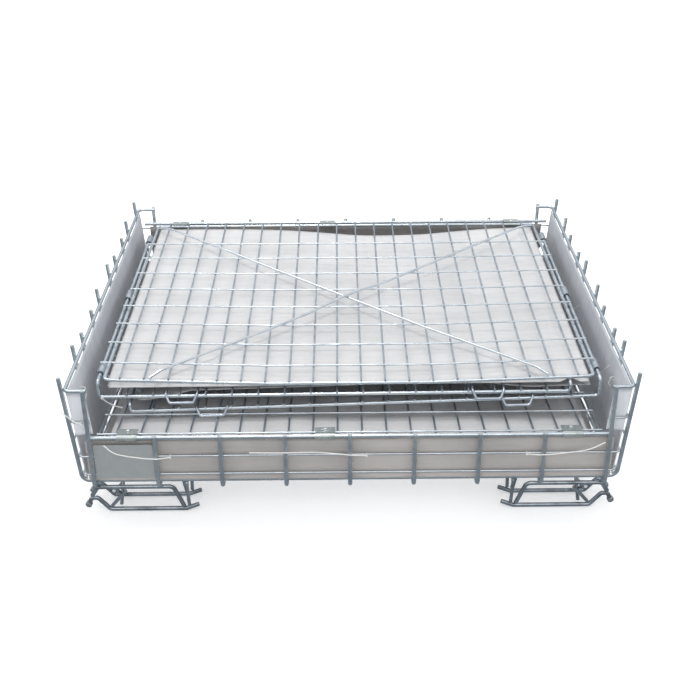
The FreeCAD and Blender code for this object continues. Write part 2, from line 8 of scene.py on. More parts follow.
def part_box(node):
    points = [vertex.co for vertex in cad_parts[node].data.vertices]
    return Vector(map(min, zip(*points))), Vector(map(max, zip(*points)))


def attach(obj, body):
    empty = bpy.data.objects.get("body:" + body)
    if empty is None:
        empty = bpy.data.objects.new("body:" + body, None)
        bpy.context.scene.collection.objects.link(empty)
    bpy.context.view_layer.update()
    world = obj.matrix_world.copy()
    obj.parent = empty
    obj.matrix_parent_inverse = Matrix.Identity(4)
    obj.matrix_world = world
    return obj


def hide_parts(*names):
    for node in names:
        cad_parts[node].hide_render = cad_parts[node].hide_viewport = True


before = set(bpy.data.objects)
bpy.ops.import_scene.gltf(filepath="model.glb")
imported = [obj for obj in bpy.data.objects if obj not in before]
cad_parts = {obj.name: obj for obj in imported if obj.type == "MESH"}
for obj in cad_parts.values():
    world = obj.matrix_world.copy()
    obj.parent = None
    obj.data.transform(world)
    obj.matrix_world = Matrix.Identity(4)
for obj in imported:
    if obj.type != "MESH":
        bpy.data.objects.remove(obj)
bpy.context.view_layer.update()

MM = 0.001
SHEET_THICKNESS = 2.0 * MM     # the twin-wall polypropylene liner sheets
SKIN = 0.1 * MM                # air between a standing liner and the wires outside it
FLUTE_PITCH = 4.5 * MM


# ---------------------------------------------------------------- node helpers
def new_material(name):
    material = bpy.data.materials.new(name)
    material.use_nodes = True
    tree = material.node_tree
    return material, tree, tree.nodes["Principled BSDF"]


def add(tree, kind, **settings):
    node = tree.nodes.new(kind)
    for key, value in settings.items():
        setattr(node, key, value)
    return node


def placed(tree, scale):
    """Object coordinates, scaled along each axis."""
    coordinates = add(tree, "ShaderNodeTexCoord")
    mapping = add(tree, "ShaderNodeMapping")
    mapping.inputs["Scale"].default_value = scale
    tree.links.new(coordinates.outputs["Object"], mapping.inputs["Vector"])
    return mapping.outputs["Vector"]


def noise_at(tree, vector, scale, detail=3.0, roughness=0.5):
    node = add(tree, "ShaderNodeTexNoise")
    node.inputs["Scale"].default_value = scale
    node.inputs["Detail"].default_value = detail
    node.inputs["Roughness"].default_value = roughness
    tree.links.new(vector, node.inputs["Vector"])
    return node.outputs["Fac"]


def ramp(tree, value, stops):
    """A colour ramp through (position, colour) stops; a colour is three numbers or one grey."""
    node = add(tree, "ShaderNodeValToRGB")
    elements = node.color_ramp.elements
    while len(elements) < len(stops):
        elements.new(0.5)
    for element, (position, colour) in zip(elements, stops):
        rgb = (colour,) * 3 if isinstance(colour, float) else colour
        element.position = position
        element.color = (*rgb, 1.0)
    tree.links.new(value, node.inputs["Fac"])
    return node.outputs["Color"]


def bump(tree, shader, height, strength, distance):
    node = add(tree, "ShaderNodeBump")
    node.inputs["Strength"].default_value = strength
    node.inputs["Distance"].default_value = distance
    tree.links.new(height, node.inputs["Height"])
    tree.links.new(node.outputs["Normal"], shader.inputs["Normal"])


# ---------------------------------------------------------------- materials
def zinc(name, tone, along):
    """Bright zinc plating on drawn wire: cloudy patches, fine die lines along the wire."""
    bright, dull, gloss, dull_gloss = tone
    material, tree, shader = new_material(name)
    even = placed(tree, (1.0, 1.0, 1.0))
    clouds = noise_at(tree, even, 22.0, 4.0, 0.6)
    specks = noise_at(tree, even, 420.0, 2.0, 0.6)
    lines = noise_at(tree, placed(tree, along), 1.0, 3.0, 0.55)
    plating = ramp(tree, clouds, [(0.32, dull), (0.62, bright)])
    stains = ramp(tree, specks, [(0.30, (0.46, 0.47, 0.47)), (0.42, (1.0, 1.0, 1.0))])
    tint = add(tree, "ShaderNodeMix", data_type="RGBA", blend_type="MULTIPLY")
    tint.inputs["Factor"].default_value = 0.55
    tree.links.new(plating, tint.inputs[6])
    tree.links.new(stains, tint.inputs[7])
    tree.links.new(tint.outputs[2], shader.inputs["Base Color"])
    shader.inputs["Metallic"].default_value = 1.0
    rough = ramp(tree, clouds, [(0.30, dull_gloss), (0.68, gloss)])
    tree.links.new(rough, shader.inputs["Roughness"])
    bump(tree, shader, lines, 0.25, 0.00025)
    return material


def sheet_zinc(name, bright, dull, roughness):
    """Zinc-plated sheet metal: rolled grain, soft scuffs."""
    material, tree, shader = new_material(name)
    even = placed(tree, (1.0, 1.0, 1.0))
    clouds = noise_at(tree, even, 34.0, 5.0, 0.65)
    grain = noise_at(tree, placed(tree, (60.0, 900.0, 900.0)), 1.0, 3.0, 0.5)
    colour = ramp(tree, clouds, [(0.33, dull), (0.66, bright)])
    tree.links.new(colour, shader.inputs["Base Color"])
    shader.inputs["Metallic"].default_value = 0.85
    rough = ramp(tree, clouds, [(0.3, roughness + 0.12), (0.7, roughness - 0.05)])
    tree.links.new(rough, shader.inputs["Roughness"])
    bump(tree, shader, grain, 0.18, 0.0003)
    return material


WAVE_SCALE = 2 * math.pi / (20 * FLUTE_PITCH)    # the wave node has 20 radians per unit of its scale
LINER_ROUGHNESS = 0.42
GLOW_RADIUS = (0.004, 0.004, 0.004)


def liner(name, light, dark, streak_scale, flute_axis, glow=0.12):
    """White twin-wall polypropylene: milky, fine flutes one way, faint flow streaks, soft gloss."""
    material, tree, shader = new_material(name)
    even = placed(tree, (1.0, 1.0, 1.0))
    clouds = noise_at(tree, even, 5.0, 4.0, 0.55)
    streaks = noise_at(tree, placed(tree, streak_scale), 1.0, 4.0, 0.6)
    dust = noise_at(tree, even, 700.0, 2.0, 0.7)
    body = ramp(tree, clouds, [(0.30, dark), (0.62, light)])
    faint = ramp(tree, streaks, [(0.36, (0.90, 0.90, 0.90)), (0.56, (1.0, 1.0, 1.0))])
    tint = add(tree, "ShaderNodeMix", data_type="RGBA", blend_type="MULTIPLY")
    tint.inputs["Factor"].default_value = 0.7
    tree.links.new(body, tint.inputs[6])
    tree.links.new(faint, tint.inputs[7])
    tree.links.new(tint.outputs[2], shader.inputs["Base Color"])
    rough = ramp(tree, dust, [(0.35, LINER_ROUGHNESS - 0.06), (0.65, LINER_ROUGHNESS + 0.10)])
    tree.links.new(rough, shader.inputs["Roughness"])
    shader.inputs["Subsurface Weight"].default_value = glow
    shader.inputs["Subsurface Radius"].default_value = GLOW_RADIUS
    shader.inputs["Subsurface Scale"].default_value = 1.0
    shader.inputs["Sheen Weight"].default_value = 0.05
    flutes = add(tree, "ShaderNodeTexWave", wave_type="BANDS", bands_direction=flute_axis)
    flutes.wave_profile = "SIN"
    flutes.inputs["Scale"].default_value = WAVE_SCALE
    flutes.inputs["Distortion"].default_value = 0.0
    tree.links.new(even, flutes.inputs["Vector"])
    relief = add(tree, "ShaderNodeMath", operation="MULTIPLY_ADD")
    relief.inputs[1].default_value = 0.12
    tree.links.new(flutes.outputs["Fac"], relief.inputs[0])
    tree.links.new(streaks, relief.inputs[2])
    bump(tree, shader, relief.outputs[0], 0.30, 0.0015)
    return material


def nylon(name):
    """Natural nylon of the cable ties."""
    material, tree, shader = new_material(name)
    clouds = noise_at(tree, placed(tree, (1.0, 1.0, 1.0)), 90.0, 3.0)
    colour = ramp(tree, clouds, [(0.3, (0.80, 0.80, 0.77)), (0.7, (0.90, 0.90, 0.88))])
    tree.links.new(colour, shader.inputs["Base Color"])
    shader.inputs["Roughness"].default_value = 0.35
    shader.inputs["Subsurface Weight"].default_value = 0.15
    shader.inputs["Subsurface Radius"].default_value = (0.002, 0.002, 0.002)
    bump(tree, shader, clouds, 0.1, 0.0003)
    return material


FINE = 2600.0                  # scale of the die lines across a wire
COARSE = 60.0                  # and along it
ALONG_X = (COARSE, FINE, FINE)
ALONG_Y = (FINE, COARSE, FINE)
ALONG_Z = (FINE, FINE, COARSE)

# Bright colour, dull colour, roughness where bright, roughness where dull.
HEAVY_TONE = ((0.82, 0.88, 0.92), (0.62, 0.68, 0.73), 0.20, 0.34)
LONG_MESH_TONE = ((0.78, 0.83, 0.87), (0.56, 0.61, 0.65), 0.24, 0.38)
# Painted shade: the mesh wires running along y get a darker copy of the same zinc, because their sides
# catch less of the overhead light.
SHADED_DEEP_MESH_TONE = ((0.66, 0.72, 0.78), (0.44, 0.50, 0.56), 0.26, 0.40)
UPRIGHT_TONE = ((0.80, 0.86, 0.88), (0.58, 0.63, 0.66), 0.24, 0.40)
# Painted highlight: the braces and belt wires get a lighter, glossier copy of the same zinc, so they read
# white as if strongly lit.
HIGHLIGHT_TONE = ((0.90, 0.94, 0.97), (0.74, 0.79, 0.84), 0.16, 0.26)
# Painted shade: the feet under the container get a darker copy of the same zinc for the shade they stand
# in.
SHADED_FOOT_TONE = ((0.56, 0.60, 0.64), (0.28, 0.31, 0.34), 0.18, 0.30)
TUBE_TONE = ((0.74, 0.78, 0.82), (0.46, 0.50, 0.54), 0.28, 0.44)

HEAVY_X = zinc("zinc_heavy_x", HEAVY_TONE, ALONG_X)
HEAVY_Y = zinc("zinc_heavy_y", HEAVY_TONE, ALONG_Y)
MESH_X = zinc("zinc_mesh_x", LONG_MESH_TONE, ALONG_X)
MESH_Y = zinc("zinc_mesh_y_painted_shade", SHADED_DEEP_MESH_TONE, ALONG_Y)
UPRIGHT = zinc("zinc_upright", UPRIGHT_TONE, ALONG_Z)
# Painted highlight: a brightened copy of the wire zinc for the braces and belts.
BRIGHT = zinc("zinc_painted_highlight", HIGHLIGHT_TONE, ALONG_Y)
FOOT = zinc("zinc_foot_painted_shade", SHADED_FOOT_TONE, ALONG_X)
TUBE = zinc("zinc_tube", TUBE_TONE, ALONG_Y)
CLIP = sheet_zinc("zinc_clip", (0.70, 0.75, 0.73), (0.48, 0.53, 0.51), 0.24)
PLATE = sheet_zinc("zinc_plate", (0.80, 0.81, 0.79), (0.74, 0.75, 0.73), 0.44)
RIVET = sheet_zinc("zinc_rivet", (0.86, 0.89, 0.90), (0.66, 0.70, 0.71), 0.24)
CAP = sheet_zinc("cap_steel", (0.52, 0.54, 0.55), (0.34, 0.36, 0.37), 0.40)
LINER_TOP = liner("liner_top", (0.80, 0.785, 0.785), (0.71, 0.70, 0.70), (9.0, 70.0, 70.0), "Y")
# Painted shade: the front wall's liner is the same white sheet as the others, given a darker warm grey for
# the shade on its face turned away from the lamps, warmed as if by light off the floor.
SHADED_LINER_FRONT = liner("liner_front_painted_shade", (0.48, 0.45, 0.43), (0.37, 0.35, 0.335), (6.0, 6.0, 90.0), "Z")
# Painted shade: the end walls' liner is the same white sheet, given a darker bluish grey for the cool shade
# on its standing faces.
SHADED_LINER_END = liner("liner_end_painted_shade", (0.72, 0.735, 0.765), (0.62, 0.635, 0.67), (70.0, 70.0, 8.0), "Y", glow=0.5)
NYLON = nylon("nylon_tie")

NODE_MATERIALS = {
    HEAVY_Y: ["end_rail_left", "end_rail_right", "left_panel_frame", "right_panel_frame"],
    HEAVY_X: ["front_hinge_rail", "back_hinge_rail", "back_panel_frame", "gate_top_rail"],
    UPRIGHT: ["base_wires_deep", "base_wires_across", "end_wall_wires_left", "end_wall_wires_right"],
    BRIGHT: ["back_panel_braces", "base_belt_wires"],
    MESH_X: ["base_floor_wires", "back_wall_wires", "back_panel_cross_wires", "left_panel_long_wires",
             "right_panel_long_wires", "gate_cross_wires"],
    MESH_Y: ["back_panel_deep_wires",
             "left_panel_short_wires", "right_panel_short_wires", "left_panel_loops",
             "right_panel_loops", "gate_side_wires", "gate_deep_wires"],
    FOOT: ["foot_runners", "foot_frames", "foot_yokes", "foot_struts"],
    TUBE: ["back_panel_sleeves"],
    CLIP: ["back_hinge_clips", "gate_hinge_clips"],
    RIVET: ["back_clip_rivets", "gate_clip_rivets"],
    PLATE: ["label_plate"],
    CAP: ["foot_caps"],
}


def dress_frame():
    for material, names in NODE_MATERIALS.items():
        for name in names:
            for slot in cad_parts[name].material_slots:
                slot.material = material


# ---------------------------------------------------------------- mesh helpers
def object_from(name, mesh_data, material, body):
    mesh = bpy.data.meshes.new(name)
    mesh_data.to_mesh(mesh)
    mesh_data.free()
    mesh.materials.append(material)
    for face in mesh.polygons:
        face.use_smooth = True
    piece = bpy.data.objects.new(name, mesh)
    bpy.context.scene.collection.objects.link(piece)
    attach(piece, body)
    return piece


def shell(name, point, normal, columns, rows, material, body, skip=None):
    """A closed thin sheet: point(u, v) for u and v from 0 to 1, thickened both ways along normal(u, v)."""
    data = bmesh.new()
    half = SHEET_THICKNESS / 2
    sides = []
    for sign in (1, -1):
        grid = []
        for i in range(columns + 1):
            line = []
            for j in range(rows + 1):
                u = i / columns
                v = j / rows
                line.append(data.verts.new(point(u, v) + normal(u, v) * (half * sign)))
            grid.append(line)
        sides.append(grid)
    kept = {(i, j) for i in range(columns) for j in range(rows) if not (skip and skip(i, j))}
    upper, lower = sides
    for i, j in sorted(kept):
        corners = [(i, j), (i + 1, j), (i + 1, j + 1), (i, j + 1)]
        data.faces.new([upper[a][b] for a, b in corners])
        data.faces.new([lower[a][b] for a, b in reversed(corners)])
        neighbours = [(i, j - 1), (i + 1, j), (i, j + 1), (i - 1, j)]
        for (a, b), (c, d), beside in zip(corners, corners[1:] + corners[:1], neighbours):
            if beside not in kept:
                data.faces.new([upper[c][d], upper[a][b], lower[a][b], lower[c][d]])
    loose = [v for v in data.verts if not v.link_faces]
    bmesh.ops.delete(data, geom=loose, context="VERTS")
    bmesh.ops.recalc_face_normals(data, faces=data.faces)
    return object_from(name, data, material, body)


def swell(value, start, end):
    """0 before start, 1 after end, smooth between."""
    t = min(1.0, max(0.0, (value - start) / (end - start)))
    return t * t * (3.0 - 2.0 * t)


def hump(value, centre, width):
    return math.exp(-((value - centre) / width) ** 2)


def ripple(x, y, scale_x, scale_y, seed):
    """Smooth noise from about -1 to 1."""
    return 2.0 * noise.noise(Vector((x * scale_x, y * scale_y, seed)))


# ---------------------------------------------------------------- liner sheets
UP = Vector((0.0, 0.0, 1.0))
CAD_HALF_SHEET = 1.0 * MM
FRONT_CROWDING = 1.4           # power that draws a lying sheet's rows together at its front edge


def lying_sheet(name, node, body, rising, offset, columns, rows, inset=None):
    """A liner that lies: the CAD sheet's tilted plane plus offset, clear of what is over and under it."""
    low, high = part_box(node)

    def level(x, y):
        share = 1.0
        if rising == "x":
            share = (x - low.x) / (high.x - low.x)
        if rising == "y":
            share = (high.y - y) / (high.y - low.y)
        return low.z + CAD_HALF_SHEET + (high.z - low.z - 2 * CAD_HALF_SHEET) * share

    def point(u, v):
        """Rows lie closer together towards the front edge, which curls the most."""
        x = low.x + (high.x - low.x) * u
        far = high.y - (inset(x) if inset else 0.0)
        share = v ** FRONT_CROWDING
        y = low.y + (far - low.y) * share
        return Vector((x, y, level(x, y) + offset(x, y, u, share)))

    piece = shell(name, point, lambda u, v: UP, columns, rows, LINER_TOP, body)
    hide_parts(node)


FREE_EDGE_X = 0.498            # the left panel's free edge, which passes under the back panel
PANEL_HALF = 0.5495            # the back panel's side rails
SAG_FLAT = 0.183               # half of the stretch of its free edge that hangs level
PANEL_SAG = 13.0               # millimetres
SLEEVE_X = 0.56155             # hinge axes of the side panels
HINGE_Y = 0.53595
PANEL_FRONT_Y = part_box("back_panel_frame")[0].y

# The back panel's liner, in millimetres up from the CAD sheet's level.
PANEL_WAVE = 2.2
PANEL_CREASE = 2.4
PANEL_DIP = 8.0                # where the front edge hangs lowest
BACK_EDGE_DROP = 13.5
FRONT_EDGE_CURL = 15.5
PANEL_LOWEST = -15.2
PANEL_RISE = 5.0               # per metre, as the left panel under it rises to the right
PANEL_END_X = 0.56
PANEL_LIFT = 14.6              # over the left panel's free edge
PANEL_HIGHEST = 0.8
PANEL_HELD_UP = 6.4            # more room under the mesh than under its frame
BACK_EDGE_SCOOP = 30.0 * MM    # the back edge stops short of the hinge in its middle


def back_panel_sag(x, y):
    """How far the back panel's mesh hangs under its flat outline, in millimetres."""
    across = min(1.0, max(0.0, (PANEL_HALF - abs(x)) / (PANEL_HALF - SAG_FLAT)))
    return PANEL_SAG * across * max(0.0, (HINGE_Y - y) / (HINGE_Y - PANEL_FRONT_Y))


def back_panel_offset(x, y, u, v):
    """Held up to the mesh in places, hanging in the middle of the back edge and along the front edge."""
    edge = min(u, 1.0 - u, 0.5)
    inside = swell(edge, 0.0, 0.06) * swell(v, 0.0, 0.05) * swell(1.0 - v, 0.0, 0.05)
    waves = 1.5 + PANEL_WAVE * ripple(x, y, 3.2, 5.5, 3.1)
    waves += PANEL_CREASE * swell(u, 0.4, 0.75) * math.sin(y * 19.0 + 4.0 * x)
    waves -= PANEL_DIP * hump(x, 0.24, 0.22) * swell(v, 0.0, 0.3)
    back = -BACK_EDGE_DROP * hump(x, 0.12, 0.24) * swell(v, 0.55, 1.0)
    front = -FRONT_EDGE_CURL * swell(1.0 - v, 0.972, 0.998)
    sag = back_panel_sag(x, y)
    tilt = PANEL_RISE * (x + PANEL_END_X)
    lowest = PANEL_LOWEST + max(tilt, PANEL_LIFT * hump(x, FREE_EDGE_X, 0.022))
    highest = PANEL_HIGHEST + PANEL_HELD_UP * inside - sag
    return MM * max(lowest, min(highest, inside * waves + back + front - sag * inside))


def back_panel_inset(x):
    return BACK_EDGE_SCOOP * hump(x, 0.12, 0.24)


def left_panel_offset(x, y, u, v):
    inside = swell(v, 0.0, 0.1) * swell(1.0 - v, 0.0, 0.1) * swell(u, 0.0, 0.05) * swell(1.0 - u, 0.0, 0.05)
    return MM * inside * (1.2 + 1.0 * ripple(x, y, 5.0, 5.0, 7.7))


RIGHT_PANEL_FALL = 29.3        # millimetres of fall per metre, away from its hinge
LEFT_PANEL_FALL = -5.2
SIDE_PANEL_GAP = 9.0           # millimetres of room between the side panels' sheets where they meet
ARCH_LIMIT = 20.0


def right_panel_offset(x, y, u, v):
    """Arches up at the front edge towards the panel above, which leaves a dark gap under it."""
    room = SIDE_PANEL_GAP + (SLEEVE_X - x) * RIGHT_PANEL_FALL - (x + SLEEVE_X) * LEFT_PANEL_FALL
    arch = room * swell(x, -0.47, -0.26) * swell(-x, -0.44, -0.24) * swell(1.0 - v, 0.72, 0.97)
    waves = 0.7 * ripple(x, y, 5.0, 5.0, 2.3) * swell(u, 0.0, 0.05) * swell(1.0 - u, 0.0, 0.05)
    return MM * (min(arch, ARCH_LIMIT) + 0.7 + waves)


def gate_offset(x, y, u, v):
    """Hangs in waves under the gate's mesh, less towards the floor."""
    room = swell(1.0 - v, 0.15, 0.75)
    front = swell(v, 0.0, 0.03)
    waves = 4.2 * ripple(x, y, 4.2, 6.0, 5.5) + 1.6 * ripple(x, y, 11.0, 9.0, 1.2)
    return MM * min(0.6, -3.4 * room + waves * room * (0.35 + 0.65 * front))


def floor_offset(x, y, u, v):
    """Lies flat on the floor wires."""
    return 0.0


def wall_sheet(name, node, body, side, seed):
    """Front or back wall liner, standing, with shallow waves towards the goods space."""
    low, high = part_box(node)
    inward = Vector((0.0, -side, 0.0))
    face = (low.y if side < 0 else high.y) + inward.y * (SHEET_THICKNESS / 2 + SKIN)

    def depth(x, z, v):
        waves = 1.4 + 1.3 * ripple(x, z, 5.0, 9.0, seed) + 0.7 * ripple(x, z, 15.0, 6.0, seed + 4.0)
        return MM * max(0.0, waves) * swell(v, 0.0, 0.3)

    def point(u, v):
        x = low.x + (high.x - low.x) * u
        z = low.z + (high.z - low.z) * v
        return Vector((x, face, z)) + inward * depth(x, z, v)

    piece = shell(name, point, lambda u, v: inward, 150, 12, SHADED_LINER_FRONT, body)
    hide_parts(node)


LEG_X = 0.59525                # foot of the leaning end-wall verticals
LEG_Z = 0.0973
END_RAIL_Z = 0.330
END_RAIL_SHIFT = 0.020         # how far the lean carries the end rail outwards
LEAN = math.atan(END_RAIL_SHIFT / (END_RAIL_Z - LEG_Z))
END_LINER_X = 0.5859           # outer face of the end wall liner before it leans
END_LINER_INNER_X = 0.54575    # free edge of its return
END_LINER_TOP = 0.32075
END_LINER_BOTTOM = 0.103
RETURN_RADIUS = 7.6 * MM
RETURN_COLUMNS = 20            # columns of the sheet's grid that take the return and its bend
END_COLUMNS = 160
END_ROWS = 24


def end_wall_sheet(name, node, body, side, seed):
    """End wall liner, leaning outwards, with its return behind the front corner ladder."""
    low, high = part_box(node)
    outer = END_LINER_X - SHEET_THICKNESS / 2 - SKIN
    front = low.y + SHEET_THICKNESS / 2 + SKIN
    inner = END_LINER_INNER_X
    radius = RETURN_RADIUS
    strip = outer - radius - inner
    bend = radius * math.pi / 2
    wall = high.y - front - radius
    total = strip + bend + wall
    bottom = END_LINER_BOTTOM
    height = END_LINER_TOP - bottom
    return_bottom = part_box("front_hinge_rail")[1].z + 3.5 * MM

    def plan(s):
        """Place and inward direction along the sheet's plan line, for the right-hand side."""
        if s < strip:
            return Vector((inner + s, front, 0.0)), Vector((0.0, 1.0, 0.0))
        if s < strip + bend:
            angle = (s - strip) / radius
            out = Vector((math.sin(angle), -math.cos(angle), 0.0))
            return Vector((outer - radius, front + radius, 0.0)) + out * radius, -out
        return Vector((outer, front + radius + (s - strip - bend), 0.0)), Vector((-1.0, 0.0, 0.0))

    def along(u):
        share = RETURN_COLUMNS / END_COLUMNS
        if u < share:
            return (strip + bend) * u / share
        return strip + bend + wall * (u - share) / (1.0 - share)

    def place(u, v):
        s = along(u)
        at, inward = plan(s)
        z = bottom + height * v
        waves = 1.2 + 1.1 * ripple(s, z, 4.0, 6.0, seed) + 0.6 * ripple(s, z, 13.0, 5.0, seed + 3.0)
        free = swell(s, strip + bend, strip + bend + 0.12) * swell(total - s, 0.0, 0.1)
        bow = MM * max(0.0, waves) * free
        return at + UP * z + inward * bow, inward

    def leaning(vector, pivot):
        """Turned outwards about the foot of the verticals, then put on its own side."""
        x = vector.x - pivot.x
        z = vector.z - pivot.z
        turned_x = pivot.x + x * math.cos(LEAN) + z * math.sin(LEAN)
        turned_z = pivot.z + z * math.cos(LEAN) - x * math.sin(LEAN)
        return Vector((turned_x * side, vector.y, turned_z))

    def skip(i, j):
        return i < RETURN_COLUMNS and bottom + height * j / END_ROWS < return_bottom

    def point(u, v):
        return leaning(place(u, v)[0], Vector((LEG_X, 0.0, LEG_Z)))

    def normal(u, v):
        return leaning(place(u, v)[1], Vector((0.0, 0.0, 0.0)))

    piece = shell(name, point, normal, END_COLUMNS, END_ROWS, SHADED_LINER_END, body, skip)
    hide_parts(node)


def make_liners():
    lying_sheet("back_panel_liner", "back_panel_sheet", "back_panel", "top",
                back_panel_offset, 180, 120, back_panel_inset)
    lying_sheet("left_panel_liner", "left_panel_sheet", "left_panel", "x", left_panel_offset, 120, 80)
    lying_sheet("right_panel_liner", "right_panel_sheet", "right_panel", "x", right_panel_offset, 120, 80)
    lying_sheet("gate_liner", "gate_sheet", "gate", "y", gate_offset, 150, 110)
    lying_sheet("floor_liner", "floor_sheet", "base", "top", floor_offset, 20, 20)
    wall_sheet("front_wall_liner", "front_wall_sheet", "base", -1, 2.0)
    wall_sheet("back_wall_liner", "back_wall_sheet", "base", 1, 12.0)
    end_wall_sheet("end_wall_liner_right", "end_wall_sheet_right", "base", 1, 21.0)
    end_wall_sheet("end_wall_liner_left", "end_wall_sheet_left", "base", -1, 33.0)


# ---------------------------------------------------------------- cable ties
TIE_WIDTH = 2.6 * MM
TIE_THICKNESS = 1.1 * MM
HEAD_WIDTH = 4.8 * MM
HEAD_DEPTH = 3.6 * MM
HEAD_STEP = 1.6 * MM           # from the loop's radius out to the middle of the head
HEAD_EDGE = 0.6 * MM
LOOP_STEPS = 20
BELT_LOOP = 3.1 * MM           # loop radii, round belts and rungs, end-wall wires and panel rails
WALL_LOOP = 4.5 * MM
RAIL_LOOP = 5.3 * MM
FRONT_BELT_Y = -538.2          # these three in millimetres, as are all places of the ties
TOP_BELT_Z = 166.5
END_WIRE_X = 593.0


def curve_through(points, steps=8):
    """Points of a smooth curve through the given ones."""
    ends = [2 * points[0] - points[1]] + points + [2 * points[-1] - points[-2]]
    result = []
    for before, a, b, after in zip(ends, ends[1:], ends[2:], ends[3:]):
        for step in range(steps):
            t = step / steps
            bend = a * (2 - 5 * t * t + 3 * t ** 3) + b * (t + 4 * t * t - 3 * t ** 3)
            pull = before * (-t + 2 * t * t - t ** 3) + after * (t ** 3 - t * t)
            result.append((bend + pull) / 2)
    return result + [points[-1]]


def add_strap(data, points, facing, closed=False):
    """A flat strap along the points, its broad side towards facing."""
    rings = []
    count = len(points)
    for i, at in enumerate(points):
        ahead = points[(i + 1) % count] if closed else points[min(i + 1, count - 1)]
        behind = points[i - 1] if closed else points[max(i - 1, 0)]
        along = (ahead - behind).normalized()
        outward = facing(at) if closed else facing
        outward = (outward - along * outward.dot(along)).normalized()
        across = along.cross(outward) * (TIE_WIDTH / 2)
        deep = outward * (TIE_THICKNESS / 2)
        corners = (across + deep, deep - across, -across - deep, across - deep)
        rings.append([data.verts.new(at + corner) for corner in corners])
    pairs = list(zip(rings, rings[1:] + (rings[:1] if closed else [])))
    for first, second in pairs[:count if closed else count - 1]:
        for k in range(4):
            data.faces.new([first[k], first[(k + 1) % 4], second[(k + 1) % 4], second[k]])
    if not closed:
        data.faces.new(rings[0])
        data.faces.new(list(reversed(rings[-1])))


def add_head(data, centre, size):
    """The lock of the tie, a small block with broken edges."""
    block = bmesh.ops.create_cube(data, size=1.0)["verts"]
    for vert in block:
        vert.co = centre + Vector(a * b for a, b in zip(vert.co, size))
    edges = list({edge for vert in block for edge in vert.link_edges})
    bmesh.ops.bevel(data, geom=edges, offset=HEAD_EDGE, segments=2, affect="EDGES")


def cable_tie(name, body, wire, wire_along, radius, facing, tail):
    """A loop round a wire, its head on the facing side, a tail from the head through the given points."""
    data = bmesh.new()
    side = wire_along.cross(facing).normalized()
    ring = []
    for step in range(LOOP_STEPS):
        angle = 2 * math.pi * step / LOOP_STEPS
        ring.append(wire + (facing * math.cos(angle) + side * math.sin(angle)) * radius)
    add_strap(data, ring, lambda at: (at - wire).normalized(), closed=True)
    head = wire + facing * (radius + HEAD_STEP)
    size = [HEAD_WIDTH] * 3
    deep = max(range(3), key=lambda k: abs(facing[k]))
    size[deep] = HEAD_DEPTH
    add_head(data, head, size)
    add_strap(data, curve_through([head] + tail), facing)
    bmesh.ops.recalc_face_normals(data, faces=data.faces)
    piece = object_from(name, data, NYLON, body)
    for face in piece.data.polygons:
        face.use_smooth = False


def points_mm(*points):
    return [Vector(point) * MM for point in points]


def make_cable_ties():
    front = Vector((0.0, -1.0, 0.0))
    along_x = Vector((1.0, 0.0, 0.0))
    along_y = Vector((0.0, 1.0, 0.0))
    along_z = Vector((0.0, 0.0, 1.0))
    into_right_wall = Vector((-1.0, 0.0, 0.0))
    into_left_wall = Vector((1.0, 0.0, 0.0))
    front_ties = {
        "cable_tie_front_left": (-394.0, [
            (-424.0, -552.0, 168.0), (-470.0, -547.0, 169.5),
            (-512.0, -546.0, 179.0), (-535.0, -547.0, 201.0)]),
        "cable_tie_front_middle": (36.0, [
            (0.0, -552.0, 174.0), (-70.0, -547.0, 178.0),
            (-141.0, -552.0, 181.0), (-220.0, -549.0, 180.0)]),
        "cable_tie_front_right": (388.0, [
            (424.0, -552.0, 170.0), (478.0, -547.0, 172.0),
            (522.0, -546.0, 179.0), (556.0, -547.0, 197.0)]),
    }
    for name, (x, tail) in front_ties.items():
        wire = Vector((x, FRONT_BELT_Y, TOP_BELT_Z)) * MM
        cable_tie(name, "base", wire, along_x, BELT_LOOP, front, points_mm(*tail))
    rung = Vector((-578.0, FRONT_BELT_Y, 254.0)) * MM
    cable_tie("cable_tie_corner_left", "base", rung, along_x, BELT_LOOP, front,
              points_mm((-589.0, -549.0, 262.0), (-603.0, -550.0, 276.0), (-616.0, -547.0, 285.0)))
    right_ties = {
        "cable_tie_right_back": ((424.0, 224.0), [
            (577.0, 400.0, 244.0), (579.0, 366.0, 266.0), (583.0, 340.0, 283.0)]),
        "cable_tie_right_middle": ((0.0, 226.0), [
            (578.0, -8.0, 246.0), (580.0, -20.0, 268.0), (585.0, -38.0, 284.0)]),
        "cable_tie_right_front": ((-300.0, 222.0), [
            (578.0, -318.0, 240.0), (580.0, -352.0, 266.0), (586.0, -390.0, 303.0)]),
    }
    for name, ((y, z), tail) in right_ties.items():
        wire = Vector((END_WIRE_X, y, z)) * MM
        cable_tie(name, "base", wire, along_y, WALL_LOOP, into_right_wall, points_mm(*tail))
    right_corner = Vector((597.0, -392.0, 270.0)) * MM
    cable_tie("cable_tie_right_corner", "base", right_corner, along_y, WALL_LOOP, into_right_wall,
              points_mm((585.0, -402.0, 262.0), (588.0, -410.0, 262.0)))
    left_corner = Vector((-596.0, -420.0, 272.0)) * MM
    cable_tie("cable_tie_left_corner", "base", left_corner, along_y, WALL_LOOP, into_left_wall,
              points_mm((-586.0, -432.0, 262.0), (-588.0, -440.0, 256.0)))
    panel_rail = Vector((-554.0, -418.0, 248.0)) * MM
    cable_tie("cable_tie_left_panel", "left_panel", panel_rail, along_z, RAIL_LOOP, front,
              points_mm((-540.0, -430.0, 240.0), (-524.0, -433.0, 233.0), (-508.0, -434.0, 229.0)))


# ---------------------------------------------------------------- stage
FLOOR_REACH = 30.0
FLOOR_GLOW = 0.42              # keeps the pale floor bright under the container


